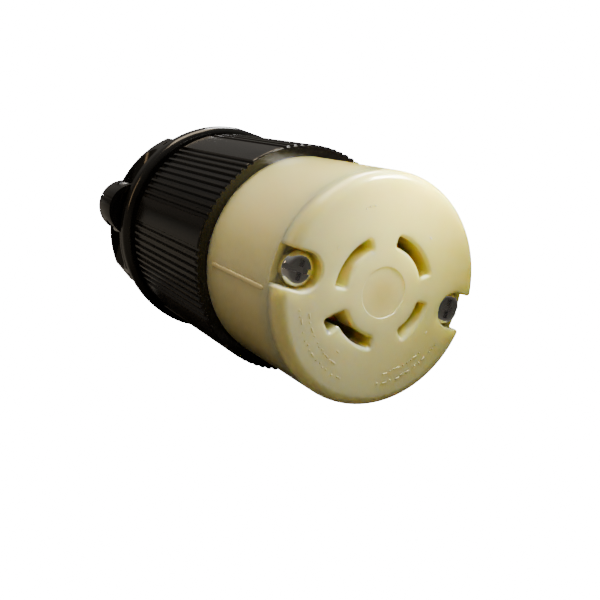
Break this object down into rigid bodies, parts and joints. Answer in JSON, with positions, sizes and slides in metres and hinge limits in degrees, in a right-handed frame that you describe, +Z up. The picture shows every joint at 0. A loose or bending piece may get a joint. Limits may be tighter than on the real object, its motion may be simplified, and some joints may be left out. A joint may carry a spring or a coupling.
{
  "type": "locking cord connector",
  "caption": "Round locking power connector for a cord end: curved-slot ivory face, ribbed black back shell with rear flange, and a two-jaw cord clamp.",
  "frame": {"origin": "centre of the mating face, on the connector's axis", "axes": "+Y runs back along the axis from the mating face to the cord end, +X is to the right of someone facing the slots, +Z is up, and the two assembly screws lie on the X axis"},
  "size_m": [0.0732, 0.1055, 0.0654],
  "materials": {
    "front_nylon": "glossy translucent ivory nylon",
    "retainer_nylon": "natural nylon",
    "shell_nylon": "glossy black nylon",
    "contact_brass": "stamped brass",
    "spring_bronze": "phosphor bronze",
    "zinc_steel": "zinc plated steel",
    "screw_chrome": "bright nickel plated steel",
    "terminal_brass": "brass",
    "terminal_silver": "nickel plated",
    "terminal_green": "green dipped"
  },
  "bodies": {
    "front_body": {"face_cap": "front_nylon", "contact_carrier": "front_nylon", "terminal_retainer": "retainer_nylon", "hot_x_contact": "contact_brass", "hot_y_contact": "contact_brass", "neutral_contact": "contact_brass", "ground_contact": "contact_brass"},
    "assembly_screw_left": {"assembly_screw_left": "screw_chrome"},
    "assembly_screw_right": {"assembly_screw_right": "screw_chrome"},
    "shell": {"back_shell": "shell_nylon", "threaded_insert_left": "contact_brass", "threaded_insert_right": "contact_brass"},
    "upper_jaw": {"cord_jaw_upper": "shell_nylon"},
    "lower_jaw": {"cord_jaw_lower": "shell_nylon", "clamp_nut_left": "zinc_steel", "clamp_nut_right": "zinc_steel"},
    "clamp_screw_left": {"clamp_screw_left": "zinc_steel"},
    "clamp_screw_right": {"clamp_screw_right": "zinc_steel"},
    "hot_x_plate": {"hot_x_pressure_plate": "zinc_steel"},
    "hot_x_screw": {"hot_x_terminal_screw": "terminal_brass"},
    "hot_x_leaf": {"hot_x_spring_leaf": "spring_bronze"},
    "hot_y_plate": {"hot_y_pressure_plate": "zinc_steel"},
    "hot_y_screw": {"hot_y_terminal_screw": "terminal_brass"},
    "hot_y_leaf": {"hot_y_spring_leaf": "spring_bronze"},
    "neutral_plate": {"neutral_pressure_plate": "zinc_steel"},
    "neutral_screw": {"neutral_terminal_screw": "terminal_silver"},
    "neutral_leaf": {"neutral_spring_leaf": "spring_bronze"},
    "ground_plate": {"ground_pressure_plate": "zinc_steel"},
    "ground_screw": {"ground_terminal_screw": "terminal_green"},
    "ground_leaf": {"ground_spring_leaf": "spring_bronze"}
  },
  "joints": [
    {"name": "back_shell_slide", "type": "slide", "parent": "front_body", "child": "shell", "axis": [0, 1, 0], "range_m": [0, 0.00952]},
    {"name": "assembly_screw_left_turn", "type": "hinge", "parent": "front_body", "child": "assembly_screw_left", "pos_m": [-0.0224, 0.00495, 0], "axis": [0, -1, 0], "range_deg": [0, 4320]},
    {"name": "assembly_screw_right_turn", "type": "hinge", "parent": "front_body", "child": "assembly_screw_right", "pos_m": [0.0224, 0.00495, 0], "axis": [0, -1, 0], "range_deg": [0, 4320]},
    {"name": "upper_jaw_slide", "type": "slide", "parent": "shell", "child": "upper_jaw", "axis": [0, 0, 1], "range_m": [0, 0.00238]},
    {"name": "lower_jaw_slide", "type": "slide", "parent": "shell", "child": "lower_jaw", "axis": [0, 0, -1], "range_m": [0, 0.00238]},
    {"name": "clamp_screw_left_turn", "type": "hinge", "parent": "upper_jaw", "child": "clamp_screw_left", "pos_m": [-0.0295, 0.0999, 0.003], "axis": [0, 0, 1], "range_deg": [0, 2160]},
    {"name": "clamp_screw_right_turn", "type": "hinge", "parent": "upper_jaw", "child": "clamp_screw_right", "pos_m": [0.0295, 0.0999, 0.003], "axis": [0, 0, 1], "range_deg": [0, 2160]},
    {"name": "hot_x_plate_slide", "type": "slide", "parent": "front_body", "child": "hot_x_plate", "axis": [0.7071, 0, 0.7071], "range_m": [0, 0.00317]},
    {"name": "hot_x_screw_turn", "type": "hinge", "parent": "hot_x_plate", "child": "hot_x_screw", "pos_m": [0.01245, 0.053, 0.01245], "axis": [0.7071, 0, 0.7071], "range_deg": [0, 1440]},
    {"name": "hot_x_leaf_flex", "type": "hinge", "parent": "front_body", "child": "hot_x_leaf", "pos_m": [0.00499, 0.0264, 0.00901], "axis": [0.8746, 0, -0.4848], "range_deg": [0, 3], "stiffness_Nm_per_rad": 1.2},
    {"name": "hot_y_plate_slide", "type": "slide", "parent": "front_body", "child": "hot_y_plate", "axis": [-0.7071, 0, 0.7071], "range_m": [0, 0.00317]},
    {"name": "hot_y_screw_turn", "type": "hinge", "parent": "hot_y_plate", "child": "hot_y_screw", "pos_m": [-0.01245, 0.053, 0.01245], "axis": [-0.7071, 0, 0.7071], "range_deg": [0, 1440]},
    {"name": "hot_y_leaf_flex", "type": "hinge", "parent": "front_body", "child": "hot_y_leaf", "pos_m": [-0.00941, 0.0264, 0.00419], "axis": [0.4067, 0, 0.9135], "range_deg": [0, 3], "stiffness_Nm_per_rad": 1.2},
    {"name": "neutral_plate_slide", "type": "slide", "parent": "front_body", "child": "neutral_plate", "axis": [0.7071, 0, -0.7071], "range_m": [0, 0.00317]},
    {"name": "neutral_screw_turn", "type": "hinge", "parent": "neutral_plate", "child": "neutral_screw", "pos_m": [0.01245, 0.053, -0.01245], "axis": [0.7071, 0, -0.7071], "range_deg": [0, 1440]},
    {"name": "neutral_leaf_flex", "type": "hinge", "parent": "front_body", "child": "neutral_leaf", "pos_m": [0.00945, 0.0264, -0.00411], "axis": [-0.3987, 0, -0.9171], "range_deg": [0, 3], "stiffness_Nm_per_rad": 1.2},
    {"name": "ground_plate_slide", "type": "slide", "parent": "front_body", "child": "ground_plate", "axis": [-0.7071, 0, -0.7071], "range_m": [0, 0.00317]},
    {"name": "ground_screw_turn", "type": "hinge", "parent": "ground_plate", "child": "ground_screw", "pos_m": [-0.01245, 0.053, -0.01245], "axis": [-0.7071, 0, -0.7071], "range_deg": [0, 1440]},
    {"name": "ground_leaf_flex", "type": "hinge", "parent": "front_body", "child": "ground_leaf", "pos_m": [-0.00452, 0.0264, -0.00926], "axis": [-0.8988, 0, 0.4384], "range_deg": [0, 3], "stiffness_Nm_per_rad": 1.2}
  ],
  "couplings": [
    {"joint": "assembly_screw_left_turn", "follows": "back_shell_slide", "rad_per_m": 7915.8},
    {"joint": "assembly_screw_right_turn", "follows": "back_shell_slide", "rad_per_m": 7915.8},
    {"joint": "lower_jaw_slide", "follows": "upper_jaw_slide", "ratio": 1},
    {"joint": "clamp_screw_left_turn", "follows": "upper_jaw_slide", "rad_per_m": 15832},
    {"joint": "clamp_screw_right_turn", "follows": "upper_jaw_slide", "rad_per_m": 15832},
    {"joint": "hot_x_screw_turn", "follows": "hot_x_plate_slide", "rad_per_m": 7915.8},
    {"joint": "hot_y_screw_turn", "follows": "hot_y_plate_slide", "rad_per_m": 7915.8},
    {"joint": "neutral_screw_turn", "follows": "neutral_plate_slide", "rad_per_m": 7915.8},
    {"joint": "ground_screw_turn", "follows": "ground_plate_slide", "rad_per_m": 7915.8}
  ]
}
